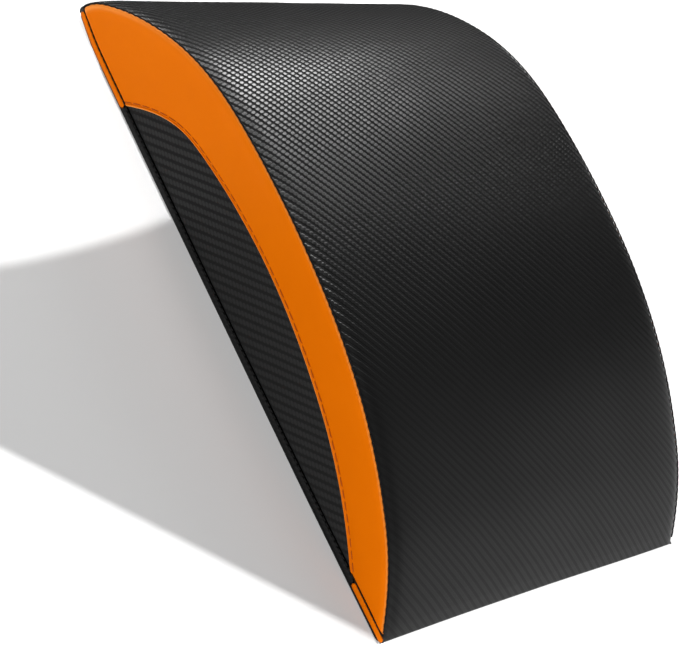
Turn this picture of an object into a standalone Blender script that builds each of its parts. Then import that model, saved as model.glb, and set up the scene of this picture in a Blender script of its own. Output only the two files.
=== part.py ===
"""Ab mat: a firm foam wedge with an arched back, in a sewn vinyl cover.

Metres, +Z up. The mat lies on its base at z = 0, centred on X and Y, with the thick end at -X.
The right side is -Y. Every panel is a sheet that follows the same outline and the same side
surface, each layer one sheet and one clearance deeper than the layer over it.
"""
import bmesh
import bpy
from bisect import bisect_right
from math import acos, atan2, cos, hypot, pi, sin

# Driving dimensions
MAT_LENGTH = 0.370
MAT_WIDTH = 0.3095
MAT_HEIGHT = 0.067
VINYL_THICKNESS = 0.001
BASE_THICKNESS = 0.0012
CLEARANCE = 0.0003

# The arch from the thick end to the thin end: spline controls, as shares of length and height
outline_shares = ((0, 0), (-0.013, 0.194), (0.122, 0.863), (0.310, 1.006), (0.537, 1.007),
                  (0.715, 0.844), (0.844, 0.589), (0.932, 0.349), (1, 0))

# The D-shaped opening in each side band, as shares of its own length and height
INSERT_START = 0.057
INSERT_LENGTH = 0.281
INSERT_HEIGHT = 0.0406
insert_shares = ((0, 0), (0.073, 0.695), (0.183, 0.888), (0.383, 1.045), (0.627, 0.929),
                 (0.854, 0.540), (1, 0))
INSERT_LAP = 0.008
INSERT_END_HEIGHT = 0.009

# How the sides stand: bowed outward in plan, and leaning in beside the top seam
SIDE_BOW = 0.0016
SEAM_LEAN = 0.0008
SEAM_LEAN_WIDTH = 0.004

# How the top panel falls to the side seams, and the rolled edge that goes into the seam
SHOULDER_DROP = 0.0015
SHOULDER_WIDTH = 0.014
ROLL_RADIUS = 0.0025
SEAM_ALLOWANCE = 0.002

# The topstitched hem round the foot of the sides
HEM_HEIGHT = 0.0026
HEM_PUFF = 0.0003
GROOVE_WIDTH = 0.0022
GROOVE_DEPTH = 0.0004
RELIEF_FADE_LENGTH = 0.008

# The foam block, and the corners of the base sheet
FOAM_EDGE = 0.0025
FOAM_END_HEIGHT = 0.003
BASE_CORNER_RADIUS = 0.003

# How finely each piece is drawn
OUTLINE_SAMPLES = 600
PANEL_STATIONS = 42
BAND_STATIONS = 36
INSERT_COLUMNS = 30
FOAM_BASE_COLUMNS = 8
CORNER_STEPS = 4
ROLL_STEPS = 2
BOW_STEPS = 12
TURN_WEIGHT = 0.10
SHARP_ANGLE = 0.7

# Places across the foam's capped ends and the panels, as shares
cap_shares = (0.0, 0.4, 0.8)
band_row_shares = (0.5, 1.0)
insert_row_shares = (0.3, 0.65, 1.0)

# Heights and depths that follow from the sizes above
HEM_FOOT = BASE_THICKNESS + CLEARANCE
PANEL_FOOT = HEM_FOOT + VINYL_THICKNESS
LAYER = VINYL_THICKNESS + CLEARANCE
ROLLED_DEPTH = SHOULDER_DROP + ROLL_RADIUS + SEAM_ALLOWANCE
RELIEF_FADE_START = 2 * ROLLED_DEPTH
FOAM_SIDE_DEPTH = 2 * LAYER + GROOVE_DEPTH


def spline_point(controls, t):
    """The point at t, from 0 to 1, of a clamped cubic B-spline."""
    degree = 3
    spans = len(controls) - degree
    knots = [0] * degree + [i / spans for i in range(spans + 1)] + [1] * degree
    span = min(int(t * spans), spans - 1) + degree
    local = [controls[span - degree + i] for i in range(degree + 1)]
    for level in range(1, degree + 1):
        for i in range(degree, level - 1, -1):
            low = knots[span - degree + i]
            high = knots[span + 1 + i - level]
            blend = (t - low) / (high - low)
            local[i] = tuple(a + (b - a) * blend for a, b in zip(local[i - 1], local[i]))
    return local[degree]


def outline_from_shares(controls, start, length, height):
    """A dense line in X and Z through a spline of shares, fitted exactly to a length and a height."""
    points = [spline_point(controls, i / OUTLINE_SAMPLES) for i in range(OUTLINE_SAMPLES + 1)]
    low = min(x for x, z in points)
    span = max(x for x, z in points) - low
    top = max(z for x, z in points)
    return [(start + length * (x - low) / span, height * z / top) for x, z in points]


def arc_lengths(points):
    """The distance along a line at each of its points."""
    lengths = [0.0]
    for (ax, az), (bx, bz) in zip(points, points[1:]):
        lengths.append(lengths[-1] + hypot(bx - ax, bz - az))
    return lengths


def point_between(a, b, share):
    return a[0] + (b[0] - a[0]) * share, a[1] + (b[1] - a[1]) * share


def points_at_shares(points, shares):
    """The points of a line at the given shares of its length."""
    lengths = arc_lengths(points)
    placed = []
    for share in shares:
        target = share * lengths[-1]
        i = min(max(bisect_right(lengths, target) - 1, 0), len(points) - 2)
        part = (target - lengths[i]) / (lengths[i + 1] - lengths[i])
        placed.append(point_between(points[i], points[i + 1], part))
    return placed


def moved_inward(points, depth):
    """An arched line moved by a depth towards the inside of the arch."""
    moved = []
    last = len(points) - 1
    for i, (x, z) in enumerate(points):
        (ax, az), (bx, bz) = points[max(i - 1, 0)], points[min(i + 1, last)]
        length = hypot(bx - ax, bz - az)
        moved.append((x + depth * (bz - az) / length, z - depth * (bx - ax) / length))
    return moved


def cut_at_height(points, height):
    """The part of an arched line that stands above a height, with both ends on that height."""
    above = [i for i, (x, z) in enumerate(points) if z > height]
    first, last = above[0], above[-1]
    ends = []
    for low, high in ((first - 1, first), (last + 1, last)):
        a, b = points[low], points[high]
        ends.append(point_between(a, b, (height - a[1]) / (b[1] - a[1])))
    return [ends[0]] + points[first:last + 1] + [ends[1]]


def station_shares(points, count):
    """Shares along a line that stand closer where it turns, so that facets stay flat to the curve."""
    weights = [0.0]
    for i in range(1, len(points)):
        (ax, az), (bx, bz) = points[i - 1], points[i]
        (cx, cz) = points[min(i + 1, len(points) - 1)]
        turn = abs(sin(atan2(bz - az, bx - ax) - atan2(cz - bz, cx - bx))) if i < len(points) - 1 else 0.0
        weights.append(weights[-1] + hypot(bx - ax, bz - az) + TURN_WEIGHT * MAT_LENGTH * turn)
    lengths = arc_lengths(points)
    shares = []
    for step in range(count):
        target = step / (count - 1) * weights[-1]
        i = min(bisect_right(weights, target) - 1, len(points) - 2)
        part = (target - weights[i]) / (weights[i + 1] - weights[i])
        shares.append((lengths[i] + (lengths[i + 1] - lengths[i]) * part) / lengths[-1])
    return shares


ARCH = outline_from_shares(outline_shares, -MAT_LENGTH / 2, MAT_LENGTH, MAT_HEIGHT)
OPENING = outline_from_shares(insert_shares, INSERT_START - MAT_LENGTH / 2, INSERT_LENGTH, INSERT_HEIGHT)
PANEL_SHARES = station_shares(cut_at_height(ARCH, PANEL_FOOT), PANEL_STATIONS)


def end_fade(x):
    """0 beside the mat's two ends, where the sides are sewn flat, and 1 between them."""
    end_distance = MAT_LENGTH / 2 - abs(x)
    return min(max((end_distance - RELIEF_FADE_START) / RELIEF_FADE_LENGTH, 0.0), 1.0)


def half_width(x, seam_distance):
    """Half the mat's width at x, at a distance down the side from the top seam."""
    bow = SIDE_BOW * (2 * x / MAT_LENGTH) ** 2
    lean = SEAM_LEAN * max(0.0, 1 - seam_distance / SEAM_LEAN_WIDTH) ** 2
    return MAT_WIDTH / 2 - bow - lean * end_fade(x)


def hem_levels():
    """Heights of the hem's foot, its crest and the three edges of the stitched groove over it."""
    groove = HEM_FOOT + HEM_HEIGHT
    return [HEM_FOOT, HEM_FOOT + HEM_HEIGHT / 2, groove, groove + GROOVE_WIDTH / 2, groove + GROOVE_WIDTH]


def hem_relief(x, z):
    """How far the hem stands out, or its groove goes in."""
    over_foot = z - HEM_FOOT
    over_groove = over_foot - HEM_HEIGHT
    if 0 < over_foot < HEM_HEIGHT:
        return end_fade(x) * HEM_PUFF * sin(pi * over_foot / HEM_HEIGHT)
    if 0 < over_groove < GROOVE_WIDTH:
        return -end_fade(x) * GROOVE_DEPTH * sin(pi * over_groove / GROOVE_WIDTH)
    return 0.0


def shoulder_drop(seam_distance):
    """How far the top has fallen at a distance in from the side seam."""
    return SHOULDER_DROP * max(0.0, 1 - seam_distance / SHOULDER_WIDTH) ** 2


def material(name, colour, roughness):
    """A plain material in linear colour."""
    made = bpy.data.materials.new(name)
    made.use_nodes = True
    shader = made.node_tree.nodes["Principled BSDF"]
    shader.inputs["Base Color"].default_value = (*colour, 1)
    shader.inputs["Roughness"].default_value = roughness
    made.diffuse_color = (*colour, 1)
    return made


def place(collection, name, mesh, finish):
    """Puts a mesh in the mat's collection as a smooth shaded object."""
    mesh.shade_smooth()
    mesh.set_sharp_from_angle(angle=SHARP_ANGLE)
    mesh.materials.append(finish)
    piece = bpy.data.objects.new(name, mesh)
    collection.objects.link(piece)
    return piece


def sheet(collection, name, rows, finish, mirrored=False):
    """A sheet of vinyl through a grid of points: rows run side by side, each from thick to thin end.

    The points lie on the sheet's outer face, and Solidify adds the thickness behind it.
    """
    stations = len(rows[0])
    bm = bmesh.new()
    bmesh.ops.create_grid(bm, x_segments=stations - 1, y_segments=len(rows) - 1, size=1)
    for vert in bm.verts:
        along = round((vert.co.x + 1) / 2 * (stations - 1))
        across = round((vert.co.y + 1) / 2 * (len(rows) - 1))
        x, y, z = rows[across][along]
        vert.co = (x, -y if mirrored else y, z)
    if mirrored:
        bmesh.ops.reverse_faces(bm, faces=bm.faces)
    mesh = bpy.data.meshes.new(name)
    bm.to_mesh(mesh)
    bm.free()
    piece = place(collection, name, mesh, finish)
    solid = piece.modifiers.new("thickness", "SOLIDIFY")
    solid.thickness = VINYL_THICKNESS
    solid.offset = -1
    solid.use_even_offset = True
    return piece


def top_panel(collection, finish):
    """The strip over the arch, crowned between its rolled edges."""
    inner_edge = LAYER + ROLL_RADIUS
    # Distance in from the side, and depth under the crest, from the seam allowance to the middle
    crossing = [(LAYER, ROLLED_DEPTH)]
    for step in range(ROLL_STEPS + 1):
        angle = pi / 2 * step / ROLL_STEPS
        inward = inner_edge - ROLL_RADIUS * cos(angle)
        crossing.append((inward, shoulder_drop(inward) + ROLL_RADIUS * (1 - sin(angle))))
    crossing.append(((inner_edge + SHOULDER_WIDTH) / 2, shoulder_drop((inner_edge + SHOULDER_WIDTH) / 2)))
    crossing.append((SHOULDER_WIDTH, 0.0))
    rows = []
    for side, places in ((-1, crossing), (0, [(0.0, 0.0)]), (1, crossing[::-1])):
        for inward, depth in places:
            rail = cut_at_height(moved_inward(ARCH, depth), PANEL_FOOT)
            row = []
            for x, z in points_at_shares(rail, PANEL_SHARES):
                row.append((x, side * (half_width(x, depth - SHOULDER_DROP) - inward), z))
            rows.append(row)
    return sheet(collection, "top_panel", rows, finish)


def foot_and_rest(rail, count):
    """Points of an arched rail: at each hem level up one foot, evenly over the arch, and down again."""
    levels = hem_levels()
    up = [cut_at_height(rail, level)[0] for level in levels]
    down = [cut_at_height(rail, level)[-1] for level in reversed(levels)]
    middle = points_at_shares(cut_at_height(rail, levels[-1]), station_shares(rail, count))
    return up[:-1] + middle + down[1:]


def side_point(x, z, seam_distance, depth):
    """A point of a side panel's outer face, at a depth under the outermost layer."""
    return x, half_width(x, seam_distance) + hem_relief(x, z) - depth, z


def side_band(collection, name, finish, mirrored):
    """The arched band between the top seam and the opening for the insert."""
    over = foot_and_rest(moved_inward(ARCH, SHOULDER_DROP), BAND_STATIONS)
    under = foot_and_rest(OPENING, BAND_STATIONS)
    rows = []
    for distance in (0.0, SEAM_LEAN_WIDTH / 2, SEAM_LEAN_WIDTH):
        row = []
        for a, b in zip(over, under):
            x, z = point_between(a, b, distance / hypot(b[0] - a[0], b[1] - a[1]))
            row.append(side_point(x, z, distance, 0.0))
        rows.append(row)
    for share in band_row_shares:
        row = []
        for a, b in zip(over, under):
            width = hypot(b[0] - a[0], b[1] - a[1])
            distance = SEAM_LEAN_WIDTH + (width - SEAM_LEAN_WIDTH) * share
            x, z = point_between(a, b, distance / width)
            row.append(side_point(x, z, distance, 0.0))
        rows.append(row)
    return sheet(collection, name, rows, finish, mirrored)


def side_insert(collection, name, finish, mirrored):
    """The D-shaped panel, with its lap allowance under the band."""
    lapped = cut_at_height(moved_inward(OPENING, -INSERT_LAP), INSERT_END_HEIGHT)
    crown = points_at_shares(lapped, station_shares(lapped, INSERT_COLUMNS))
    levels = hem_levels()
    rows = []
    for share in reversed(insert_row_shares):
        rows.append([side_point(x, levels[-1] + (top - levels[-1]) * share, SEAM_LEAN_WIDTH, LAYER)
                     for x, top in crown])
    for level in reversed(levels):
        rows.append([side_point(x, level, SEAM_LEAN_WIDTH, LAYER) for x, top in crown])
    return sheet(collection, name, rows, finish, mirrored)


def base_panel(collection, finish):
    """The sheet on the floor, bowed as the sides are and rounded at its four corners."""
    end = MAT_LENGTH / 2 - BASE_CORNER_RADIUS
    quarter = []
    for step in range(CORNER_STEPS + 1):
        angle = pi / 2 * step / CORNER_STEPS
        side = half_width(end, SEAM_LEAN_WIDTH) - BASE_CORNER_RADIUS
        quarter.append((end + BASE_CORNER_RADIUS * cos(angle), side + BASE_CORNER_RADIUS * sin(angle)))
    for step in range(1, BOW_STEPS // 2 + 1):
        x = end * (1 - step / (BOW_STEPS // 2))
        quarter.append((x, half_width(x, SEAM_LEAN_WIDTH)))
    half = quarter + [(-x, y) for x, y in quarter[-2::-1]]
    outline = half + [(x, -y) for x, y in half[::-1]]
    curve = bpy.data.curves.new("base_outline", "CURVE")
    curve.dimensions = "2D"
    curve.fill_mode = "BOTH"
    curve.extrude = BASE_THICKNESS / 2
    spline = curve.splines.new("POLY")
    spline.points.add(len(outline) - 1)
    for point, (x, y) in zip(spline.points, outline):
        point.co = (x, y, 0, 1)
    spline.use_cyclic_u = True
    curve.materials.append(finish)
    piece = bpy.data.objects.new("base_panel", curve)
    piece.location.z = BASE_THICKNESS / 2
    collection.objects.link(piece)
    return piece


def foam_loop(depth, bottom):
    """The foam's outline at a depth under the arch: over the top, down the blunt end and back."""
    rail = cut_at_height(moved_inward(ARCH, depth), bottom + FOAM_END_HEIGHT)
    over = points_at_shares(rail, PANEL_SHARES)
    (thick_x, _), (thin_x, _) = over[0], over[-1]
    steps = FOAM_BASE_COLUMNS + 1
    under = [(thin_x + (thick_x - thin_x) * i / steps, bottom) for i in range(steps + 1)]
    return over + under


def foam_core(collection, finish):
    """The foam block: a round loop of the outline, drawn out from side to side and capped."""
    bottom = BASE_THICKNESS + CLEARANCE
    sections = []
    rim = foam_loop(LAYER + SHOULDER_DROP + FOAM_EDGE, bottom + FOAM_EDGE)
    centre = (0.0, bottom + MAT_HEIGHT / 2 - FOAM_EDGE)
    for share in cap_shares + (1.0,):
        section = []
        for edge in rim:
            x, z = point_between(centre, edge, share)
            section.append((x, half_width(x, SEAM_LEAN_WIDTH) - FOAM_SIDE_DEPTH, z))
        sections.append(section)
    edge_in = FOAM_SIDE_DEPTH + FOAM_EDGE
    for inward in (edge_in, (edge_in + SHOULDER_WIDTH) / 2, SHOULDER_WIDTH):
        loop = foam_loop(LAYER + shoulder_drop(inward), bottom)
        sections.append([(x, half_width(x, SEAM_LEAN_WIDTH) - inward, z) for x, z in loop])
    middle = [(x, 0.0, z) for x, z in foam_loop(LAYER, bottom)]
    sections += [middle] + [[(x, -y, z) for x, y, z in section] for section in sections[::-1]]
    around, rings = len(rim), len(sections) - 1
    bm = bmesh.new()
    bmesh.ops.create_uvsphere(bm, u_segments=around, v_segments=rings, radius=1)
    for vert in bm.verts:
        ring = round(acos(max(-1.0, min(1.0, vert.co.z))) / pi * rings)
        turn = round(atan2(vert.co.y, vert.co.x) / (2 * pi) * around) % around
        vert.co = sections[ring][turn]
    mesh = bpy.data.meshes.new("foam_core")
    bm.to_mesh(mesh)
    bm.free()
    return place(collection, "foam_core", mesh, finish)


def build():
    for old in list(bpy.data.objects):
        bpy.data.objects.remove(old)
    mat = bpy.data.collections.new("ab_mat")
    bpy.context.scene.collection.children.link(mat)
    foam = material("foam", (0.55, 0.55, 0.52), 0.9)
    top_vinyl = material("embossed_vinyl", (0.016, 0.016, 0.017), 0.45)
    side_vinyl = material("side_vinyl", (0.012, 0.012, 0.013), 0.55)
    base_vinyl = material("base_vinyl", (0.008, 0.008, 0.008), 0.7)
    orange = material("orange_leatherette", (0.72, 0.155, 0.0), 0.4)
    foam_core(mat, foam)
    base_panel(mat, base_vinyl)
    top_panel(mat, top_vinyl)
    for name, mirrored in (("left", False), ("right", True)):
        side_band(mat, name + "_side_band", orange, mirrored)
        side_insert(mat, name + "_side_insert", side_vinyl, mirrored)


build()
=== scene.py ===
"""Looks for the ab mat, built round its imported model.

Metres, +Z up, in the frame of the CAD: the mat lies on its base at z = 0, the thick end is at -X
and the right side, which the photograph shows, is -Y.
"""
from bisect import bisect_right
from math import atan, cos, exp, hypot, pi, radians, sin, sqrt

import bpy
from mathutils import Matrix, Vector, noise


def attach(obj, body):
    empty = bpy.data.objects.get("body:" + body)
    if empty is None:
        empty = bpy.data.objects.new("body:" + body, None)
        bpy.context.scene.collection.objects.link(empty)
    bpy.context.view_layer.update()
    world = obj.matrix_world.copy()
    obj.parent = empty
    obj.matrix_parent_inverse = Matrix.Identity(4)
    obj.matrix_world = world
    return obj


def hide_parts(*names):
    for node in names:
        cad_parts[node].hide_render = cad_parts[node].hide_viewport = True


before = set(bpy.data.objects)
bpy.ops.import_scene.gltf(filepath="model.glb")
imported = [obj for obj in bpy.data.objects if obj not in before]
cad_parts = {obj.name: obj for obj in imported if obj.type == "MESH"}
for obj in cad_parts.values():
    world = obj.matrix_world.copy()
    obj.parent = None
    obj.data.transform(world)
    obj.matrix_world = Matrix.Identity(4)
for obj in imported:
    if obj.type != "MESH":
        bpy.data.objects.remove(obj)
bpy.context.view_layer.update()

# Sizes that the solids have too
MAT_LENGTH = 0.370
MAT_WIDTH = 0.3095
MAT_HEIGHT = 0.067
BASE_THICKNESS = 0.0012
INSERT_START = 0.057
INSERT_LENGTH = 0.281
INSERT_HEIGHT = 0.0406
INSERT_LAP = 0.008
INSERT_DEPTH = 0.0013
INSERT_END_HEIGHT = 0.009
SIDE_BOW = 0.0016
SHOULDER_DROP = 0.0015
SHOULDER_WIDTH = 0.014
SEAM_ALLOWANCE = 0.002

# Controls of the side seam and of the bands' opening, as shares of their length and height
ARCH_SHARES = ((0, 0), (-0.013, 0.194), (0.122, 0.863), (0.310, 1.006), (0.537, 1.007),
               (0.715, 0.844), (0.844, 0.589), (0.932, 0.349), (1, 0))
OPENING_SHARES = ((0, 0), (0.073, 0.695), (0.183, 0.888), (0.383, 1.045), (0.627, 0.929),
                  (0.854, 0.540), (1, 0))

# A side is the sign of its Y
RIGHT, LEFT = -1, 1

# The vinyl, and its rolled edge along the seam
VINYL_THICKNESS = 0.0007
ROLL_RADIUS = 0.0018
SEAM_INSET = 0.0016

# The crown: how far the foam lifts it past the solids, how soon in from the seam, and how much of
# the solids' shoulder drop is left
CROWN_LIFT = 0.0013
CROWN_REACH = 0.009
SHOULDER_SHARE = 0.6

# How deep each band's upper edge is sewn under the arch, and how that changes over the thin half
BAND_DEPTH = {RIGHT: 0.0006, LEFT: 0.0014}
THIN_HALF_DEPTH = {RIGHT: -0.0007, LEFT: 0.0}

# The topstitched hem round the foot, and the foot of the panels over the base sheet's welt
HEM_BOTTOM = 0.0013
HEM_TOP = 0.0041
GROOVE_HEIGHT = 0.0045
PANEL_FOOT = 0.0007

# How far each hem stops short of the thin end, and its stitches too. Both rows of stitches start as
# far from the thick end as the right one stops from the thin one
HEM_END_GAP = {RIGHT: 0.0002, LEFT: 0.004}
HEM_STITCH_GAP = {RIGHT: 0.0025, LEFT: 0.008}

# The thick end's corners curl up off the floor: how far, and how far that reaches along, in and up
CORNER_CURL = 0.0026
CURL_LENGTH = 0.016
CURL_WIDTH = 0.020
CURL_HEIGHT = 0.025

# There the cover laps down the side too: how far, and how much of the arch that takes up, as a
# share for the band's edge and as a length for the cover
CORNER_LAP = 0.0020
LAP_SHARE = 0.04
LAP_LENGTH = 0.013

# The thin end was sewn a little slanting, short on the right and long on the left
THIN_END_SLANT = 0.0014
SLANT_START = 0.085
SLANT_LENGTH = 0.1

# Thread: the stitches' pitches, radii and taper, and the topstitch's distance from the fold
TOPSTITCH_PITCH = 0.0060
TOPSTITCH_RADIUS = 0.00028
TOPSTITCH_INSET = 0.0021
HEM_PITCH = 0.0036
HEM_RADIUS = 0.00036
SEAM_PITCH = 0.0042
SEAM_RADIUS = 0.00050
STITCH_TAPER = (0.75, 0.95, 1.0, 0.95, 0.75)

# The thread in each top seam, laid thick and black so that it also paints the seam's shade: how
# far it lies above the band's edge, at what height it starts, and how much further out it lies
THREAD_RISE = {RIGHT: 0.0002, LEFT: 0.0008}
THREAD_START = {RIGHT: GROOVE_HEIGHT, LEFT: 0.0015}
THREAD_OUT = {RIGHT: 0.0, LEFT: 0.0001}

# How far the seam's stitches draw the vinyl in, and how far in that reaches on the cover
SEAM_DIP = 0.0002
SEAM_DIP_REACH = 0.003

# How uneven each face is: its noise's height, and its waves to the metre
COVER_WAVE, COVER_WAVES = 0.00025, 22
BAND_WAVE, BAND_WAVES = 0.00012, 40
INSERT_WAVE, INSERT_WAVES = 0.0002, 30

# How far the inserts stand out past the solids' faces
INSERT_PROUD = 0.0003

# Points along the arch: one every 0.7 mm, and closer ones at both ends, which are turned in
OUTLINE_SAMPLES = 600
ARCH_SPACING = 0.0007
END_STEPS = (0.0, 0.0002, 0.0004, 0.0007, 0.0011, 0.0016)


# Small measures

def clamped(value):
    """A value held between 0 and 1."""
    return min(1.0, max(0.0, value))


def bell(distance, reach, power=2):
    """1 at no distance, and a smooth fade on both sides. A higher power gives a flatter top."""
    return exp(-(distance / reach) ** power)


def fade(distance, reach):
    """1 up to no distance, and a fade from there."""
    return exp(-max(0.0, distance) / reach)


def ripple(distance, pitch):
    """0 at each stitch hole and 1 between them."""
    return 0.5 - 0.5 * cos(2 * pi * distance / pitch)


def unevenness(u, v, seed, waves):
    """Smooth noise from -1 to 1 over a sheet, with so many waves to the metre."""
    return noise.noise(Vector((u * waves, v * waves, seed)))


# Lines of the mat

def spline_point(controls, t):
    """The point at t, from 0 to 1, of a clamped cubic B-spline."""
    degree = 3
    spans = len(controls) - degree
    knots = [0] * degree + [i / spans for i in range(spans + 1)] + [1] * degree
    span = min(int(t * spans), spans - 1) + degree
    local = [controls[span - degree + i] for i in range(degree + 1)]
    for level in range(1, degree + 1):
        for i in range(degree, level - 1, -1):
            low = knots[span - degree + i]
            high = knots[span + 1 + i - level]
            local[i] = mixed(local[i - 1], local[i], (t - low) / (high - low))
    return local[degree]


def outline_from_shares(controls, start, length, height):
    """A dense line in X and Z through a spline of shares, fitted to a length and a height."""
    points = [spline_point(controls, i / OUTLINE_SAMPLES) for i in range(OUTLINE_SAMPLES + 1)]
    low = min(x for x, z in points)
    span = max(x for x, z in points) - low
    top = max(z for x, z in points)
    return [(start + length * (x - low) / span, height * z / top) for x, z in points]


def arc_lengths(points):
    """The distance along a line at each of its points."""
    lengths = [0.0]
    for a, b in zip(points, points[1:]):
        lengths.append(lengths[-1] + hypot(*(q - p for p, q in zip(a, b))))
    return lengths


def mixed(a, b, share):
    """The point at a share of the way from a to b."""
    return tuple(p + (q - p) * share for p, q in zip(a, b))


def points_at(points, distances):
    """The points of a line at the given distances along it."""
    lengths = arc_lengths(points)
    placed = []
    for distance in distances:
        i = min(max(bisect_right(lengths, distance) - 1, 0), len(points) - 2)
        part = (distance - lengths[i]) / (lengths[i + 1] - lengths[i])
        placed.append(mixed(points[i], points[i + 1], part))
    return placed


def outward_normals(points):
    """The unit normals of an arched line, towards the outside of the arch."""
    last = len(points) - 1
    normals = []
    for i in range(len(points)):
        (ax, az), (bx, bz) = points[max(i - 1, 0)], points[min(i + 1, last)]
        length = hypot(bx - ax, bz - az)
        normals.append(((az - bz) / length, (bx - ax) / length))
    return normals


def moved_inward(points, depth, corner=0.0, thin_half=0.0):
    """An arched line moved by a depth towards the inside of the arch, by more in the thick end's
    corner, and by another depth over the thin half."""
    last = len(points) - 1
    moved = []
    for i, ((x, z), (nx, nz)) in enumerate(zip(points, outward_normals(points))):
        inset = depth + corner * bell(i / last, LAP_SHARE)
        inset += thin_half * clamped((i / last - 0.5) / 0.3)
        moved.append((x - inset * nx, z - inset * nz))
    return moved


def cut_at_height(points, height):
    """The part of an arched line that stands above a height, with both ends on that height."""
    above = [i for i, (x, z) in enumerate(points) if z > height]
    ends = []
    for low, high in ((above[0] - 1, above[0]), (above[-1] + 1, above[-1])):
        a, b = points[low], points[high]
        ends.append(mixed(a, b, (height - a[1]) / (b[1] - a[1])))
    return [ends[0]] + points[above[0]:above[-1] + 1] + [ends[1]]


def stations(length):
    """Shares of a length along the arch: close steps at both ends, and even ones between."""
    inner = END_STEPS[-1]
    count = round((length - 2 * inner) / ARCH_SPACING)
    middle = [inner + (length - 2 * inner) * i / count for i in range(1, count)]
    both = list(END_STEPS) + middle + [length - step for step in reversed(END_STEPS)]
    return [distance / length for distance in both]


def area_under(points):
    """The area between an arched line and the floor."""
    return sum((b[0] - a[0]) * (a[1] + b[1]) / 2 for a, b in zip(points, points[1:]))


ARCH = outline_from_shares(ARCH_SHARES, -MAT_LENGTH / 2, MAT_LENGTH, MAT_HEIGHT)
OPENING = outline_from_shares(OPENING_SHARES, INSERT_START - MAT_LENGTH / 2, INSERT_LENGTH,
                              INSERT_HEIGHT)


def seam_line(side, rise=0.0):
    """A band's upper edge, or a line that stands above it."""
    return moved_inward(ARCH, BAND_DEPTH[side] - rise, CORNER_LAP, THIN_HALF_DEPTH[side])


def half_width(x):
    """Half the mat's width at x."""
    return MAT_WIDTH / 2 - SIDE_BOW * (2 * x / MAT_LENGTH) ** 2


def on_side(x, z, out, side):
    """A point of a side, standing out from its plane by a distance."""
    return x, side * (half_width(x) + out), z


def curled(point):
    """A point of the mat, moved up where the thick end's corners curl, and along where the thin end
    slants. The slant turns from short to long on the left of the middle."""
    x, y, z = point
    corner = bell(x + MAT_LENGTH / 2, CURL_LENGTH)
    corner *= bell(max(0.0, half_width(x) - abs(y)), CURL_WIDTH)
    lift = CORNER_CURL * corner * max(0.0, 1 - z / CURL_HEIGHT)
    across = clamped(0.5 + y / MAT_WIDTH)
    slanting = clamped((x - SLANT_START) / SLANT_LENGTH) ** 2
    return x - THIN_END_SLANT * slanting * cos(pi * across ** 1.6), y, z + lift


# Meshes

def smooth_mesh(name, points, faces):
    """A smooth-shaded mesh of the mat."""
    mesh = bpy.data.meshes.new(name)
    mesh.from_pydata([curled(point) for point in points], [], faces)
    mesh.shade_smooth()
    return mesh


def map_cloth(mesh, places):
    """Gives a mesh a map of the cloth's own metres, from a place for each point."""
    layer = mesh.uv_layers.new(name="cloth")
    values = [value for loop in mesh.loops for value in places[loop.vertex_index]]
    layer.data.foreach_set("uv", values)


def set_stretch_and_painted_highlight(mesh, values):
    """Stores a value from 0 to 1 at each point: on the cover how far the cloth is stretched over a
    fold, which adds gloss, and on a band the strength of its painted highlight.
    """
    mesh.attributes.new("stretch_and_painted_highlight", "FLOAT", "POINT").data.foreach_set("value", values)


def grid_mesh(name, rows, coords, flipped=False):
    """A sheet of quads through rows of points, with its map."""
    columns = len(rows[0])
    faces = []
    for r in range(len(rows) - 1):
        for a in range(r * columns, (r + 1) * columns - 1):
            face = (a, a + 1, a + 1 + columns, a + columns)
            faces.append(face[::-1] if flipped else face)
    mesh = smooth_mesh(name, [point for row in rows for point in row], faces)
    map_cloth(mesh, [place for row in coords for place in row])
    return mesh


def ring_faces(first, count, around):
    """Faces that join a count of rings, numbered from a first point, and close both ends."""
    faces = []
    for start in range(first, first + (count - 1) * around, around):
        for k in range(around):
            a, b = start + k, start + (k + 1) % around
            faces.append((a, b, b + around, a + around))
    last = first + (count - 1) * around
    faces.append(tuple(reversed(range(first, first + around))))
    faces.append(tuple(range(last, last + around)))
    return faces


def closed_mesh(name, rings, flipped=False):
    """A closed form through rings of points."""
    faces = ring_faces(0, len(rings), len(rings[0]))
    if flipped:
        faces = [face[::-1] for face in faces]
    return smooth_mesh(name, [point for ring in rings for point in ring], faces)


def piece_from(mesh, finish, nodes=()):
    """Puts a mesh in the scene as a piece of the mat that rides on its body."""
    mesh.materials.append(finish)
    piece = bpy.data.objects.new(mesh.name, mesh)
    bpy.context.scene.collection.objects.link(piece)
    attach(piece, "root")
    if nodes:
        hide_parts(*nodes)
    return piece


def thicken(piece):
    """Gives a sheet of vinyl its thickness, behind the outer face."""
    solid = piece.modifiers.new("thickness", "SOLIDIFY")
    solid.thickness = VINYL_THICKNESS
    solid.offset = -1


def stitches(name, paths, radius, thread):
    """Stitches as closed round tubes along short paths, each tapered into its two holes."""
    around = 6
    askew = Vector((0.31, 0.23, 0.92))
    vertices, faces = [], []
    for path in paths:
        points = [Vector(p) for p in path]
        last = len(points) - 1
        faces += ring_faces(len(vertices), len(points), around)
        for i, point in enumerate(points):
            ahead = (points[min(i + 1, last)] - points[max(i - 1, 0)]).normalized()
            across = ahead.cross(askew).normalized()
            up = across.cross(ahead)
            for k in range(around):
                turn = 2 * pi * k / around
                spoke = across * cos(turn) + up * sin(turn)
                vertices.append(point + spoke * (radius * STITCH_TAPER[i]))
    return piece_from(smooth_mesh(name, vertices, faces), thread)


# Materials

def linear(colour):
    """Linear red, green, blue and alpha from an sRGB hex value."""
    shares = [int(colour[i:i + 2], 16) / 255 for i in (1, 3, 5)]
    return [c / 12.92 if c <= 0.04045 else ((c + 0.055) / 1.055) ** 2.4 for c in shares] + [1.0]


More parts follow.
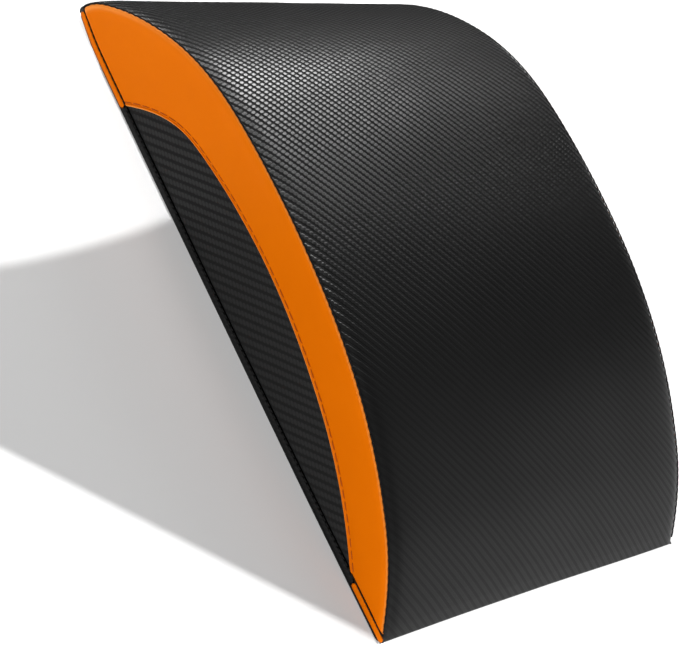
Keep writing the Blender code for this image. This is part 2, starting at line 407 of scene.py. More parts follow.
def add_node(tree, kind, inputs=(), out=0, **settings):
    """Adds a node with its settings and its inputs' values or links, and gives one output."""
    node = tree.nodes.new(kind)
    for name, value in settings.items():
        setattr(node, name, value)
    for socket, value in dict(inputs).items():
        if isinstance(value, bpy.types.NodeSocket):
            tree.links.new(value, node.inputs[socket])
        else:
            node.inputs[socket].default_value = value
    return node.outputs[out] if node.outputs else node


def new_material(name):
    """An empty node material, and its tree."""
    made = bpy.data.materials.new(name)
    made.use_nodes = True
    made.node_tree.nodes.clear()
    return made, made.node_tree


def finished(made, shader):
    """A material with its shader on its surface."""
    add_node(made.node_tree, "ShaderNodeOutputMaterial", {"Surface": shader})
    return made


def embossed_vinyl(name, thread, turned, depth, colours, roughness, specular, flattest):
    """PVC with a knit backing, embossed while hot with a two-over-two twill. Each float is a smooth
    pad, joined to the next along a slanting rib, and the pits between them are deep and dull, and
    painted darker as shade.
    Along the sheet the pattern is pressed flatter, down to a share of its depth."""
    made, tree = new_material(name)
    place = add_node(tree, "ShaderNodeUVMap", uv_map="cloth")

    # The cloth's threads wander by a quarter of a millimetre, about every 30 mm
    sway = add_node(tree, "ShaderNodeTexNoise", {
        "Vector": place, "Scale": 35.0, "Detail": 1.0}, out="Color")
    shift = add_node(tree, "ShaderNodeVectorMath", {
        0: sway, 1: (0.5, 0.5, 0.5)}, operation="SUBTRACT")
    swayed = add_node(tree, "ShaderNodeVectorMath", {
        0: shift, 1: (0.0005, 0.0005, 0.0), 2: place}, operation="MULTIPLY_ADD")

    # Two waves cross at a slant, and the twill repeats every four threads
    repeat = 4 * thread / (2 * pi)
    waves = []
    for directions in ((-1.09, 1.0), (2.84, 1.0)):
        if turned:
            directions = directions[::-1]
        slant = (*(d / repeat for d in directions), 0.0)
        turn = add_node(tree, "ShaderNodeVectorMath", {
            0: swayed, 1: slant}, out="Value", operation="DOT_PRODUCT")
        waves.append(add_node(tree, "ShaderNodeMath", {0: turn}, operation="COSINE"))

    # From 160 to 310 mm along the sheet the pattern loses its depth
    along = add_node(tree, "ShaderNodeSeparateXYZ", {0: place}, out="X")
    press = add_node(tree, "ShaderNodeMapRange", {
        "Value": along, "From Min": 0.16, "From Max": 0.31, "To Min": 1.0, "To Max": flattest})

    # The ribs run on through the pits, and the pads are flat-topped with soft walls
    cross = add_node(tree, "ShaderNodeMath", {0: waves[1], 1: press}, operation="MULTIPLY")
    both = add_node(tree, "ShaderNodeMath", {
        0: cross, 1: 0.38, 2: 0.5}, operation="MULTIPLY_ADD")
    rib = add_node(tree, "ShaderNodeMath", {0: waves[0], 1: both}, operation="MULTIPLY")
    weave = add_node(tree, "ShaderNodeMath", {
        0: cross, 1: 0.26, 2: rib}, operation="MULTIPLY_ADD")
    full = add_node(tree, "ShaderNodeMapRange", {
        "Value": weave, "From Min": -0.4, "From Max": 0.15}, interpolation_type="SMOOTHSTEP")
    pads = add_node(tree, "ShaderNodeMix", {"Factor": press, "A": 0.6, "B": full})

    # Wear pales the pads in patches of about 45 mm, the pits keep the darker colour as painted
    # shade, and a grain of 0.4 mm covers everything
    wear = add_node(tree, "ShaderNodeTexNoise", {"Vector": place, "Scale": 22.0, "Detail": 4.0})
    wear_and_pit_shade = add_node(tree, "ShaderNodeMath", {0: wear, 1: pads}, operation="MULTIPLY")
    colour = add_node(tree, "ShaderNodeMix", {
        "Factor": wear_and_pit_shade, "A": linear(colours[0]), "B": linear(colours[1])},
        out="Result", data_type="RGBA")
    grain = add_node(tree, "ShaderNodeTexNoise", {"Vector": place, "Scale": 2600.0, "Detail": 2.0})
    height = add_node(tree, "ShaderNodeMath", {
        0: grain, 1: 0.08, 2: pads}, operation="MULTIPLY_ADD")
    bump = add_node(tree, "ShaderNodeBump", {"Height": height, "Distance": depth})
    dull = add_node(tree, "ShaderNodeMapRange", {
        "Value": pads, "To Min": roughness[0], "To Max": roughness[1]})

    # The pads shine, the pits hardly do, and a pad drawn over a fold shines more
    shine = add_node(tree, "ShaderNodeMapRange", {
        "Value": pads, "To Min": specular * 0.1, "To Max": specular})
    stretch_and_painted_highlight = add_node(tree, "ShaderNodeAttribute", out="Fac", attribute_name="stretch_and_painted_highlight")
    taut = add_node(tree, "ShaderNodeMath", {0: stretch_and_painted_highlight, 1: pads}, operation="MULTIPLY")
    gloss = add_node(tree, "ShaderNodeMath", {
        0: taut, 1: 0.6, 2: shine}, operation="MULTIPLY_ADD")
    shader = add_node(tree, "ShaderNodeBsdfPrincipled", {
        "Base Color": colour, "Roughness": dull, "Normal": bump, "IOR": 1.5,
        "Specular IOR Level": gloss})
    # The socket also holds an even value, 0.7 of the full shine, for where the link is
    # dropped. The export drops that link, and takes the socket's own value
    shader.node.inputs["Specular IOR Level"].default_value = 0.7 * specular
    return finished(made, shader)


def leatherette(name, colours, roughness):
    """Polyurethane leatherette with a fine pressed grain: an even colour, soft pores 0.8 mm apart
    that are drawn a little coarser than the real ones to show, and a satin sheen that breaks up in
    clouds of about 30 mm. Where the mesh marks it, a paler colour is mixed in as a painted
    highlight over the folds and the seams' edges."""
    made, tree = new_material(name)
    place = add_node(tree, "ShaderNodeUVMap", uv_map="cloth")
    pores = add_node(tree, "ShaderNodeTexVoronoi", {
        "Vector": place, "Scale": 1250.0, "Randomness": 0.9}, feature="SMOOTH_F1")
    fine = add_node(tree, "ShaderNodeTexNoise", {"Vector": place, "Scale": 3200.0, "Detail": 3.0})
    grain = add_node(tree, "ShaderNodeMath", {
        0: pores, 1: 0.6, 2: fine}, operation="MULTIPLY_ADD")
    bump = add_node(tree, "ShaderNodeBump", {
        "Height": grain, "Distance": 0.00005, "Strength": 0.6})
    cloud = add_node(tree, "ShaderNodeTexNoise", {"Vector": place, "Scale": 30.0, "Detail": 5.0})
    body = add_node(tree, "ShaderNodeMix", {
        "Factor": cloud, "A": linear(colours[0]), "B": linear(colours[1])},
        out="Result", data_type="RGBA")
    # A paler colour is mixed in where the mesh marks it: a painted highlight
    stretch_and_painted_highlight = add_node(tree, "ShaderNodeAttribute", out="Fac", attribute_name="stretch_and_painted_highlight")
    colour = add_node(tree, "ShaderNodeMix", {
        "Factor": stretch_and_painted_highlight, "A": body, "B": linear(colours[2])}, out="Result", data_type="RGBA")
    dull = add_node(tree, "ShaderNodeMapRange", {
        "Value": cloud, "From Min": 0.3, "From Max": 0.7,
        "To Min": roughness[0], "To Max": roughness[1]})
    return finished(made, add_node(tree, "ShaderNodeBsdfPrincipled", {
        "Base Color": colour, "Roughness": dull, "Normal": bump, "IOR": 1.5,
        "Specular IOR Level": 0.15, "Specular Tint": linear("#ffb060")}))


def spun_thread(name, colour):
    """Three-ply polyester sewing thread: a soft sheen, and a twist of 0.4 mm, too fine to show as
    plies."""
    made, tree = new_material(name)
    place = add_node(tree, "ShaderNodeTexCoord", out="Object")
    plies = add_node(tree, "ShaderNodeTexNoise", {"Vector": place, "Scale": 2500.0, "Detail": 2.0})
    shade = add_node(tree, "ShaderNodeMapRange", {"Value": plies, "To Min": 0.55, "To Max": 1.25})
    tint = add_node(tree, "ShaderNodeMix", {
        "Factor": 1.0, "A": linear(colour), "B": shade},
        out="Result", data_type="RGBA", blend_type="MULTIPLY")
    bump = add_node(tree, "ShaderNodeBump", {"Height": plies, "Distance": 0.0001})
    return finished(made, add_node(tree, "ShaderNodeBsdfPrincipled", {
        "Base Color": tint, "Roughness": 0.7, "Normal": bump, "Specular IOR Level": 0.2}))


def dotted_base(name):
    """PVC-coated cloth, matt black, with pressed non-slip dots every 3 mm over a fine grain."""
    made, tree = new_material(name)
    place = add_node(tree, "ShaderNodeTexCoord", out="Object")
    dots = add_node(tree, "ShaderNodeTexVoronoi", {
        "Vector": place, "Scale": 330.0, "Randomness": 0.0})
    knob = add_node(tree, "ShaderNodeMapRange", {
        "Value": dots, "From Min": 0.22, "From Max": 0.34, "To Min": 1.0, "To Max": 0.0})
    fine = add_node(tree, "ShaderNodeTexNoise", {"Vector": place, "Scale": 1800.0, "Detail": 3.0})
    height = add_node(tree, "ShaderNodeMath", {
        0: fine, 1: 0.2, 2: knob}, operation="MULTIPLY_ADD")
    bump = add_node(tree, "ShaderNodeBump", {"Height": height, "Distance": 0.0002})
    colour = add_node(tree, "ShaderNodeMix", {
        "Factor": knob, "A": linear("#090909"), "B": linear("#101010")},
        out="Result", data_type="RGBA")
    return finished(made, add_node(tree, "ShaderNodeBsdfPrincipled", {
        "Base Color": colour, "Roughness": 0.7, "Normal": bump, "Specular IOR Level": 0.2}))


def closed_cell_foam(name):
    """Closed-cell polyethylene foam, cut and bonded: pale grey, matt, with pores of 1.4 mm."""
    made, tree = new_material(name)
    place = add_node(tree, "ShaderNodeTexCoord", out="Object")
    cells = add_node(tree, "ShaderNodeTexVoronoi", {"Vector": place, "Scale": 700.0})
    bump = add_node(tree, "ShaderNodeBump", {"Height": cells, "Distance": 0.0003})
    colour = add_node(tree, "ShaderNodeMix", {
        "Factor": cells, "A": linear("#a8a8a4"), "B": linear("#c9c9c4")},
        out="Result", data_type="RGBA")
    return finished(made, add_node(tree, "ShaderNodeBsdfPrincipled", {
        "Base Color": colour, "Roughness": 0.9, "Normal": bump}))


# The top cover's vinyl: black, its crests polished by use and its pits dull, so each float glints.
# Its threads are 1.71 mm apart. The darker first colour fills the pits as painted shade
top_vinyl = embossed_vinyl("embossed_vinyl", thread=0.00171, turned=False, depth=0.00042,
                           colours=("#161616", "#1e1e1e"), roughness=(0.60, 0.30),
                           specular=0.38, flattest=0.15)
# The side inserts are cut from a flatter, more matt vinyl of the same twill, with threads 1.55 mm
# apart. The darker first colour fills the pits as painted shade
side_vinyl = embossed_vinyl("side_vinyl", thread=0.00155, turned=True, depth=0.00006,
                            colours=("#1e1e1e", "#242424"), roughness=(0.65, 0.55),
                            specular=0.15, flattest=1.0)
# The leatherette's two body colours, and the pale one of its painted highlight
orange = leatherette("orange_leatherette", colours=("#cc6200", "#d26700", "#ffac58"),
                     roughness=(0.38, 0.48))
base_vinyl = dotted_base("base_vinyl")
foam = closed_cell_foam("foam")
# The orange thread is coloured darker than the band, as painted shade round each stitch
orange_thread_painted_dark = spun_thread("orange_thread_painted_dark", "#a84a08")
# Near-black thread; laid thick in the top seams, it is also painted shade there
black_thread = spun_thread("black_thread", "#0b0b0b")


# The top cover

def crown_depth(inward):
    """How deep the top lies under the CAD's arch at a distance in from the side: the foam lifts the
    middle a little past it."""
    drop = SHOULDER_SHARE * SHOULDER_DROP * max(0.0, 1 - inward / SHOULDER_WIDTH) ** 2
    return drop - CROWN_LIFT * (1 - fade(inward - SEAM_INSET, CROWN_REACH))


def cover_crossing():
    """From the seam to the shoulder: distance in from the side, and depth under the arch."""
    edge = SEAM_INSET + ROLL_RADIUS
    top = crown_depth(edge)
    steps = 10
    crossing = [(SEAM_INSET, top + ROLL_RADIUS + hidden) for hidden in (SEAM_ALLOWANCE, 0.0008)]
    for step in range(steps + 1):
        angle = pi / 2 * step / steps
        crossing.append((edge - ROLL_RADIUS * cos(angle), top + ROLL_RADIUS * (1 - sin(angle))))
    shoulder = (0.0038, 0.0044, 0.0050, 0.0058, 0.0068, 0.0080, 0.0094, 0.0110, 0.0125, 0.0140)
    return crossing + [(inward, crown_depth(inward)) for inward in shoulder]


def corner_crossing(crossing):
    """The same in the thick corner, where the cover laps over the side and its edge turns in under
    the band, and the shoulder is nearly flat."""
    lap = ((0.0016, 0.0062), (0.0015, 0.0046), (0.0010, 0.0041), (0.0005, 0.0037),
           (0.0003, 0.0031), (0.0003, 0.0024), (0.0003, 0.0018), (0.0004, 0.0013),
           (0.0007, 0.0009), (0.0011, 0.0006), (0.0016, 0.0005), (0.0024, 0.0004),
           (0.0034, 0.0003))
    flat = 0.3
    return list(lap) + [(inward, depth * flat) for inward, depth in crossing[len(lap):]]


def cloth_length(along):
    """The vinyl's own length at a distance along the arch: past the crest it is stretched less, so
    up to a seventh more of it lies on the same length."""
    start, run, extra = 0.18, 0.14, 0.14
    past = clamped((along - start) / run)
    return along + extra * (run / 2 * past ** 2 + max(0.0, along - start - run))


def crown_foot(x, z):
    """How much of the crown is left near the floor, where the ends are sewn flat to the base: it
    grows over 4 mm at the thick end, and over 12 mm at the thin one."""
    height = 0.004 if x < 0 else 0.012
    return min(1.0, z / height) ** 0.5


def top_cover():
    """The strip over the arch: crowned, rolled down into both side seams, tucked in at its ends."""
    crest = cut_at_height(ARCH, PANEL_FOOT)
    length = arc_lengths(crest)[-1]
    shares = stations(length)
    places = points_at(crest, [share * length for share in shares])
    normals = outward_normals(places)

    # Lines along the arch, each with its crossing's point, usual and in the corner. Between the
    # shoulders a line has no side, and its place is a share of the width
    crossing = cover_crossing()
    both = list(zip(crossing, corner_crossing(crossing)))
    spaces = 40
    crown = [(1 - 2 * i / spaces, 0.0) for i in range(1, spaces)]
    lines = [(RIGHT, usual, corner) for usual, corner in both]
    lines += [(0, place, place) for place in crown]
    lines += [(LEFT, usual, corner) for usual, corner in reversed(both)]

    rows, coords = [], []
    run = 0.0
    for side, usual, corner in lines:
        row = []
        for share, (x, z), (nx, nz) in zip(shares, places, normals):
            along = share * length
            inward, depth = mixed(usual, corner, bell(along, LAP_LENGTH))
            if side:
                y = side * (half_width(x) - inward)
                pucker = 1 - ripple(along, SEAM_PITCH)
                sink = depth + SEAM_DIP * fade(inward, SEAM_DIP_REACH) * pucker
            else:
                y = -inward * (half_width(x) - SHOULDER_WIDTH)
                sink = crown_depth(half_width(x) - abs(y))
            sink -= COVER_WAVE * unevenness(x, y, 0.3, COVER_WAVES)
            if sink < 0:
                sink *= crown_foot(x, z)
            # The crown doesn't push the thin end out over its last 6 mm
            pushed = min(1.0, z / 0.006) if x > 0 else 1.0
            x, z = x - nx * sink * pushed, max(z - nz * sink, PANEL_FOOT)
            # Both ends turn in by 0.7 mm where they meet the base
            tuck = 0.0007 * fade(min(along, length - along), 0.0006)
            row.append((x - tuck if x > 0 else x + tuck, y, z))
        if rows:
            half = len(row) // 2
            run += hypot(row[half][1] - rows[-1][half][1], row[half][2] - rows[-1][half][2])
        rows.append(row)
        coords.append([(cloth_length(share * length), run) for share in shares])
    mesh = grid_mesh("top_cover", rows, coords)
    # The vinyl is drawn tight over both rolled edges, 4.2 mm in
    set_stretch_and_painted_highlight(mesh, [abs(side) * bell(usual[0] - 0.0042, 0.0026)
                       for side, usual, corner in lines for share in shares])
    piece = piece_from(mesh, top_vinyl, ("top_panel",))
    thicken(piece)
    return piece, length, run


# The sides

# A band's edge in the top seam: distance down from it, and how far it stands out there
ROLLED_EDGE = ((0.0008, -0.00125), (0.0004, -0.0012), (0.00012, -0.00108), (0.0, -0.0009),
               (0.0001, -0.00066), (0.00035, -0.0004), (0.0007, -0.0002), (0.0012, -0.00005),
               (0.0018, 0.00006), (0.0026, 0.00018), (0.0036, 0.00027), (0.0048, 0.0003),
               (0.0062, 0.00022), (0.0080, 0.0001))

# Distances from the fold along the opening, where a band's lower rows lie
FOLD_ROWS = (0.0052, 0.0042, 0.0034, 0.0029, 0.0026, 0.00235, 0.0021, 0.00185, 0.0016, 0.0013,
             0.001, 0.0007, 0.00045, 0.00025, 0.0001, 0.0)
FOLD_RADIUS = 0.0010


def foot_tuck(z):
    """How a side panel turns in to the stitched groove over the hem."""
    return -0.0009 * fade(z - GROOVE_HEIGHT, 0.00045)


def fold_relief(rise, fold_at):
    """How far a band stands out at a distance from its fold: rounded under, thick over the folded
    edge, and pressed in along the topstitch, deepest at each hole."""
    thick = 0.0004 * bell(rise - 0.0009, 0.0011)
    turned = max(0.0, FOLD_RADIUS - rise)
    rounded = FOLD_RADIUS - sqrt(max(0.0, FOLD_RADIUS ** 2 - turned ** 2))
    holes = (1 - ripple(fold_at, TOPSTITCH_PITCH)) ** 3
    pressed = bell(rise - TOPSTITCH_INSET, 0.0005) * (0.00025 + 0.00025 * holes)
    return thick - rounded - pressed


def band_painted_highlight(rise, down, seam_at):
    """Where a band gets its painted highlight, a paler colour: over the fold, over the seam's edge,
    and beside it in the thick corner."""
    corner = 0.5 * fade(seam_at, 0.045) * bell(down - 0.0018, 0.0013)
    return 0.8 * bell(rise, 0.0007, 4) + 0.3 * bell(down, 0.0008, 4) + corner


def side_band(name, side, nodes):
    """The arched orange band: curled into the top seam, and folded under along the opening."""
    over = cut_at_height(seam_line(side), GROOVE_HEIGHT)
    under = cut_at_height(OPENING, GROOVE_HEIGHT)
    over_length, under_length = arc_lengths(over)[-1], arc_lengths(under)[-1]
    shares = stations(over_length)
    outer = points_at(over, [share * over_length for share in shares])
    inner = points_at(under, [share * under_length for share in shares])
    rolled, outs = zip(*ROLLED_EDGE)
    spaces = 9
    between = [i / spaces for i in range(1, spaces)]
    outs += (0.0,) * (len(between) + len(FOLD_ROWS))
    rows, coords, stretch_and_painted_highlight = [[] for _ in outs], [[] for _ in outs], [[] for _ in outs]
    for share, a, b in zip(shares, outer, inner):
        width = hypot(b[0] - a[0], b[1] - a[1])
        plain = width - rolled[-1] - FOLD_ROWS[0]
        downs = [*rolled, *(rolled[-1] + plain * part for part in between),
                 *(width - rise for rise in FOLD_ROWS)]
        seam_at, fold_at = share * over_length, share * under_length
        pucker = 1 - ripple(seam_at, SEAM_PITCH)
        for row, coord, highlight_row, down, out in zip(rows, coords, stretch_and_painted_highlight, downs, outs):
            # Each stitch draws the seam's edge down by 0.4 mm too
            drawn = 0.0004 * pucker ** 2 * fade(down, 0.0008)
            x, z = mixed(a, b, (down + drawn) / width)
            rise = width - down
            out += fold_relief(rise, fold_at) - SEAM_DIP * fade(down, 0.0016) * pucker
            out += foot_tuck(z) + BAND_WAVE * unevenness(x, z, 1.7 + side, BAND_WAVES)
            row.append(on_side(x, z, out, side))
            coord.append((seam_at, down))
            # The strength of the painted highlight at this point
            highlight_row.append(band_painted_highlight(rise, down, seam_at))
    mesh = grid_mesh(name, rows, coords, flipped=side == RIGHT)
    set_stretch_and_painted_highlight(mesh, [value for highlight_row in stretch_and_painted_highlight for value in highlight_row])
    piece = piece_from(mesh, orange, nodes)
    thicken(piece)
    return piece


def side_insert(name, side, nodes):
    """The D-shaped black panel, running on under the band's fold."""
    across, above = 260, 22
    lapped = moved_inward(OPENING, -INSERT_LAP)
    crown = cut_at_height(lapped, INSERT_END_HEIGHT)
    length = arc_lengths(crown)[-1]
    columns = points_at(crown, [length * i / across for i in range(across + 1)])
    # Close rows at the foot, which turns in
    heights = [0.0, 0.01, 0.02, 0.03, 0.045, 0.06]
    heights += [0.06 + 0.94 * i / above for i in range(1, above + 1)]
    rows, coords = [], []
    for share in reversed(heights):
        row, coord = [], []
        for x, top in columns:
            z = GROOVE_HEIGHT + (top - GROOVE_HEIGHT) * share
            out = INSERT_PROUD - INSERT_DEPTH + foot_tuck(z) * 0.5
            out += INSERT_WAVE * unevenness(x, z, 4.1 + side, INSERT_WAVES)
            row.append(on_side(x, z, out, side))
            coord.append((x, z))
        rows.append(row)
        coords.append(coord)
    mesh = grid_mesh(name, rows, coords, flipped=side == RIGHT)
    piece = piece_from(mesh, side_vinyl, nodes)
    thicken(piece)
    return piece


# The foot

def hem_strip(name, side, start, end, finish):
    """A piece of the folded hem: a flat tube with rounded ends, pinched at each stitch. It puffs
    out by up to half a millimetre, and its back is 1.3 mm in, behind the panels."""
    spacing, end_radius, depth = 0.0006, 0.0016, 0.0013
    count = max(12, round((end - start) / spacing))
    around = 14
    middle, tall = (HEM_BOTTOM + HEM_TOP) / 2, (HEM_TOP - HEM_BOTTOM) / 2
    rings, coords = [], []
    for i in range(count + 1):
        x = start + (end - start) * i / count
        edge = min(1.0, min(x - start, end - x) / end_radius)
        full = max(0.05, sqrt(max(0.0, 1 - (1 - edge) ** 2)))
        puff = 0.00035 + 0.00012 * ripple(x, HEM_PITCH)
        ring = []
        for k in range(around):
            out, lift = cos(2 * pi * k / around), sin(2 * pi * k / around)
            z = middle + tall * full * abs(lift) ** 0.75 * (1 if lift > 0 else -1)
            ring.append(on_side(x, z, (puff if out > 0 else depth) * out * full, side))
            coords.append((x, k * 0.0004))
        rings.append(ring)
    mesh = closed_mesh(name, rings, flipped=side == RIGHT)
    map_cloth(mesh, coords)
    return piece_from(mesh, finish)


def base_sheet():
    """The sheet on the floor, with a rounded rim and corners, a little wider at the thin end."""
    corner, inset_end, widened_by = 0.0035, 0.0016, 0.0009
    turn_steps, side_steps = 8, 12
    end = MAT_LENGTH / 2 - inset_end - corner
    wide = half_width(end) - corner
    quarter = []
    for step in range(turn_steps + 1):
        angle = pi / 2 * step / turn_steps
        quarter.append((end + corner * cos(angle), wide + corner * sin(angle)))
    for step in range(1, side_steps + 1):
        x = end * (1 - step / side_steps)
        quarter.append((x, half_width(x)))
    half = quarter + [(-x, y) for x, y in quarter[-2::-1]]
    outline = half + [(x, -y) for x, y in half[::-1]]
    rim = ((0.0020, 0.0), (0.0012, 0.0), (0.0007, 0.0002), (0.0005, 0.0006), (0.0007, 0.0010),
           (0.0012, BASE_THICKNESS), (0.0030, BASE_THICKNESS))
    rings = []
    for inset, z in rim:
        ring = []
        for x, y in outline:
            widened = widened_by * clamped(x / 0.1)
            ring.append((x * (1 - inset / (MAT_LENGTH / 2)),
                         y * (1 - (inset - widened) / (MAT_WIDTH / 2)), z))
        rings.append(ring)
    mesh = closed_mesh("base_sheet", rings)
    mesh.set_sharp_from_angle(angle=radians(60))
    return piece_from(mesh, base_vinyl, ("base_panel",))


# The foam

def foam_block():
    """The firm foam inside the cover, 2 mm under it, with rounded edges."""
    bottom = BASE_THICKNESS + 0.0003
    end_height, end_slope = 0.003, 0.0015
    steps = 90
    edge = ((0.0055, 0.0060), (0.0042, 0.0048), (0.0036, 0.0036), (0.0038, 0.0029),
            (0.0050, 0.0023), (0.0090, 0.0019), (0.0150, 0.0015))
    rings = []
    for side, crossing in ((RIGHT, edge), (LEFT, edge[::-1])):
        for inward, depth in crossing:
            rail = cut_at_height(moved_inward(ARCH, depth), bottom + end_height)
            length = arc_lengths(rail)[-1]
            arch = points_at(rail, [length * i / steps for i in range(steps + 1)])
            # The lower edge is rounded by 2 mm too
            foot = bottom + (max(0.0, 0.0020 - (inward - 0.0038)) if inward < 0.0058 else 0.0)
            loop = [(arch[0][0] + end_slope, foot)] + arch + [(arch[-1][0] - end_slope, foot)]
            rings.append([on_side(x, z, -inward, side) for x, z in loop])
    mesh = closed_mesh("foam_block", rings)
    mesh.set_sharp_from_angle(angle=radians(50))
    return piece_from(mesh, foam, ("foam_core",))


# Thread

def topstitches(name, side):
    """The orange stitches along the band's folded edge, sunk at both ends."""
    under = cut_at_height(moved_inward(OPENING, -TOPSTITCH_INSET), GROOVE_HEIGHT)
    length = arc_lengths(cut_at_height(OPENING, GROOVE_HEIGHT))[-1]
    own = arc_lengths(under)[-1]
    sunk = ((0.10, -0.0002), (0.25, 0.0002), (0.5, 0.0003), (0.75, 0.0002), (0.90, -0.0002))
    paths = []
    for k in range(int(length / TOPSTITCH_PITCH)):
        places = points_at(under, [(k + part) * TOPSTITCH_PITCH * own / length
                                   for part, out in sunk])
        paths.append([on_side(x, z, out, side) for (x, z), (part, out) in zip(places, sunk)])
    return stitches(name, paths, TOPSTITCH_RADIUS, orange_thread_painted_dark)


def hem_stitches(name, side):
    """The dark stitches in the groove over the hem."""
    first = HEM_STITCH_GAP[RIGHT] - MAT_LENGTH / 2
    last = MAT_LENGTH / 2 - HEM_STITCH_GAP[side]
    z = GROOVE_HEIGHT - 0.0001
    sunk = ((0.08, -0.0006), (0.25, -0.0002), (0.5, -0.0001), (0.75, -0.0002), (0.92, -0.0006))
    paths = []
    for k in range(int((last - first) / HEM_PITCH)):
        paths.append([on_side(first + (k + part) * HEM_PITCH, z, out, side) for part, out in sunk])
    return stitches(name, paths, HEM_RADIUS, black_thread)


def seam_stitches_and_shade(name, side):
    """The dark stitches in the valley of the top seam, each slanting a little towards the cover.
    Thick and near-black, they also paint the valley's shade as a dark line.
    """
    rail = cut_at_height(seam_line(side, THREAD_RISE[side]), THREAD_START[side])
    length = arc_lengths(rail)[-1]
    slanting = ((-0.06, 0.00125, -0.00012), (0.2, 0.00135, 0.0), (0.5, 0.00145, 0.00005),
                (0.8, 0.00155, 0.0), (1.06, 0.00165, -0.00012))
    paths = []
    for k in range(int(length / SEAM_PITCH)):
        path = []
        for part, inward, lift in slanting:
            x, z = points_at(rail, [min(max((k + part) * SEAM_PITCH, 0.0), length)])[0]
            # In the thick corner the seam runs out to the side with the lap
            out = 0.0009 * bell(x + MAT_LENGTH / 2, 0.010) + THREAD_OUT[side]
            path.append(on_side(x, z + lift, out - inward, side))
        paths.append(path)
    return stitches(name, paths, SEAM_RADIUS, black_thread)


# The mat

cover, cover_length, cover_width = top_cover()
block = foam_block()
base = base_sheet()
insert_area = area_under(moved_inward(OPENING, -INSERT_LAP))
hem_opening = cut_at_height(OPENING, HEM_TOP)
opening_start, opening_end = hem_opening[0][0], hem_opening[-1][0] + 0.005
for label, side in (("left", LEFT), ("right", RIGHT)):
    seam = cut_at_height(seam_line(side), HEM_BOTTOM)
    band = side_band(label + "_band", side, (label + "_side_band",))
    insert = side_insert(label + "_insert", side, (label + "_side_insert",))
    hem_strip(label + "_hem_thick_foot", side, seam[0][0] + 0.0004, opening_start,
              orange)
    hem_strip(label + "_hem_insert", side, opening_start, opening_end, base_vinyl)
    hem_strip(label + "_hem_thin_foot", side, opening_end, seam[-1][0] - HEM_END_GAP[side],
              orange)
    topstitches(label + "_topstitches", side)
    hem_stitches(label + "_hem_stitches", side)
    seam_stitches_and_shade(label + "_seam_stitches_and_shade", side)


# Camera, fitted to the seams and corners in the photograph

SENSOR_WIDTH = 36.0
LENS = 130.6
camera = bpy.data.objects.new("camera", bpy.data.cameras.new("camera"))
bpy.context.scene.collection.objects.link(camera)
camera.data.sensor_width = SENSOR_WIDTH
camera.data.lens = LENS
camera_right = Vector((0.43246, 0.57794, 0.69207))
camera_up = Vector((-0.87880, 0.09845, 0.46693))
camera_back = camera_right.cross(camera_up)
turn = Matrix((camera_right, camera_up, camera_back)).transposed()
camera.matrix_world = Matrix.Translation((0.2797, -1.1357, 0.7321)) @ turn.to_4x4()
bpy.context.scene.camera = camera


# Floor and light

def stage_material(name, colour, glow):
    """Matt paper, lifted by its glow where the camera, a gloss or a glass sees it."""
    made, tree = new_material(name)
    paper = add_node(tree, "ShaderNodeBsdfDiffuse", {"Color": linear(colour)})
    path = add_node(tree, "ShaderNodeLightPath").node.outputs
    seen = path["Is Camera Ray"]
    for ray in ("Is Glossy Ray", "Is Transmission Ray"):
        seen = add_node(tree, "ShaderNodeMath", {0: seen, 1: path[ray]}, operation="MAXIMUM")
    strength = add_node(tree, "ShaderNodeMath", {0: seen, 1: glow}, operation="MULTIPLY")
    lift = add_node(tree, "ShaderNodeEmission", {"Strength": strength})
    return finished(made, add_node(tree, "ShaderNodeAddShader", {0: paper, 1: lift}))


def stage_sheet(name, corners, paper):
    """A flat sheet of the studio."""
    mesh = bpy.data.meshes.new(name)
    mesh.from_pydata(corners, [], [tuple(range(len(corners)))])
    mesh.materials.append(paper)
    sheet = bpy.data.objects.new(name, mesh)
    bpy.context.scene.collection.objects.link(sheet)
    return sheet


def black_card(name, height, corners, unseen_by):
    """A flat black card of the studio, which the camera doesn't see."""
    card = stage_sheet(name, [(x, y, height) for x, y in corners],
                       stage_material(name + "_paper", "#080808", 0.0))
    for ray in ("camera", "diffuse", "transmission", unseen_by):
        setattr(card, "visible_" + ray, False)


def lamp(name, kind, strength, place, aim=(0, 0, 0.03), **settings):
    """A lamp at a place, turned to a point."""
    data = bpy.data.lights.new(name, kind)
    data.energy = strength
    for setting, value in settings.items():
        setattr(data, setting, value)
    made = bpy.data.objects.new(name, data)
    made.location = place
    made.visible_camera = False
    made.rotation_mode = "QUATERNION"
    made.rotation_quaternion = (Vector(aim) - Vector(place)).to_track_quat("-Z", "Y")
    bpy.context.scene.collection.objects.link(made)
    return made


def softbox(name, strength, place, size):
    """A rectangular lamp turned to the mat."""
    lamp(name, "AREA", strength, place, shape="RECTANGLE", size=size[0], size_y=size[1])


def floor_spot(name, strength, place, aim, spread, blend, softness):
    """A spot whose cone has a radius of a spread times its length."""
    return lamp(name, "SPOT", strength, place, aim, spot_size=2 * atan(spread), spot_blend=blend,
                shadow_soft_size=softness)


FLOOR_RADIUS = 6.0
FLOOR_SIDES = 96
rim = [2 * pi * k / FLOOR_SIDES for k in range(FLOOR_SIDES)]
floor = stage_sheet("floor", [(FLOOR_RADIUS * cos(turn), FLOOR_RADIUS * sin(turn), 0.0)
                              for turn in rim],
                    stage_material("white_floor", "#a8a8a8", 0.31))
# Just under the base, so the two don't flicker
floor.location.z = -0.0001

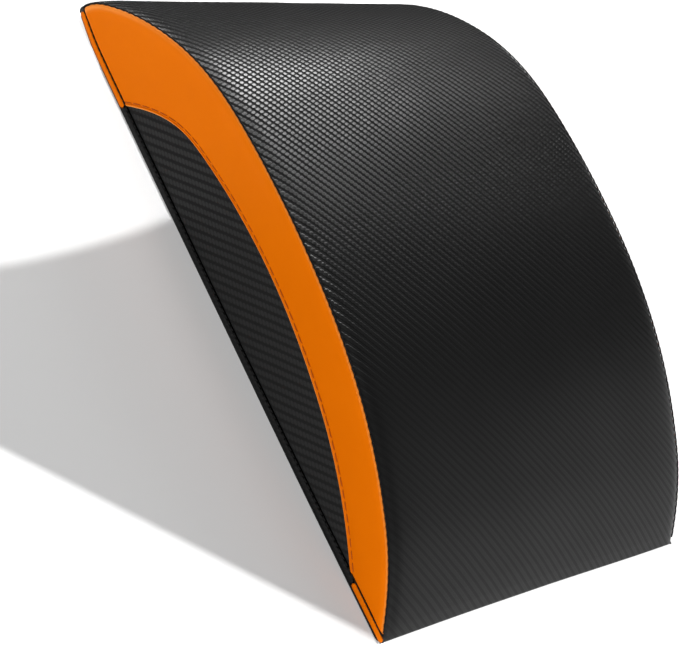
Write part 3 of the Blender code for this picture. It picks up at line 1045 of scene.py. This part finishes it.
softbox("front_softbox", 59.5, (0.9, -2.4, 0.7), (1.6, 0.7))
softbox("crest_lamp", 0.85, (-0.40, 0.30, 0.26), (0.16, 0.10))
softbox("back_softbox", 2.25, (-0.50, 0.62, 0.55), (0.3, 0.2))
softbox("thick_end_strip", 7.0, (-0.97, 0.10, 0.44), (0.3, 0.7))
softbox("thin_end_softbox", 1.5, (0.65, 1.10, 0.36), (1.1, 0.5))

# Laid on the floor behind the mat, this card is seen only by gloss, and keeps the white floor out
# of the crest. The other hangs under the edge spot and gives the shadow its straight lower edge
black_card("floor_card", 0.0006, ((-1.0, -0.25), (-1.0, 1.2), (0.15, 1.2), (0.15, 0.16),
                                  (-0.19, 0.16), (-0.19, -0.25)), unseen_by="shadow")
black_card("edge_card", 1.0, ((0.0403, -0.3462), (0.1802, -0.1512), (0.0827, -0.0813),
                              (-0.0572, -0.2763)), unseen_by="glossy")

# Four lamps light only the floor: the sun throws the shadow, the clearing spot gives it its upper
# edge, the corner spot lights under the lifted corner, and the edge spot gives it its lower edge
floor_sun = lamp("floor_sun", "SUN", 19.5, (0.72, 3.7, 1.0), (0, 0, 0), angle=radians(2.5))
clearing_spot = floor_spot("clearing_spot", 290.0, (-0.942, -0.324, 2.0), (-0.942, -0.324, 0.0),
                           spread=0.45, blend=0.01, softness=0.003)
corner_spot = floor_spot("corner_spot", 95.0, (0.16, -0.875, 0.32), (-0.172, -0.158, 0.0),
                         spread=0.027, blend=0.3, softness=0.01)
edge_spot = floor_spot("edge_spot", 240.0, (0.1103, -0.2487, 2.0), (0.1103, -0.2487, 0.0),
                       spread=0.1, blend=0.03, softness=0.003)
# The corner spot's light isn't handed on from the floor to the orange foot
corner_spot.data.cycles.max_bounces = 0
floor_only = bpy.data.collections.new("floor_only")
floor_only.objects.link(floor)
for light in (floor_sun, clearing_spot, corner_spot, edge_spot):
    light.light_linking.receiver_collection = floor_only

world = bpy.data.worlds.new("studio")
world.use_nodes = True
bpy.context.scene.world = world
background = world.node_tree.nodes["Background"].inputs
background["Color"].default_value = linear("#ffffff")
background["Strength"].default_value = 0.05
bpy.context.scene.view_settings.view_transform = "Standard"
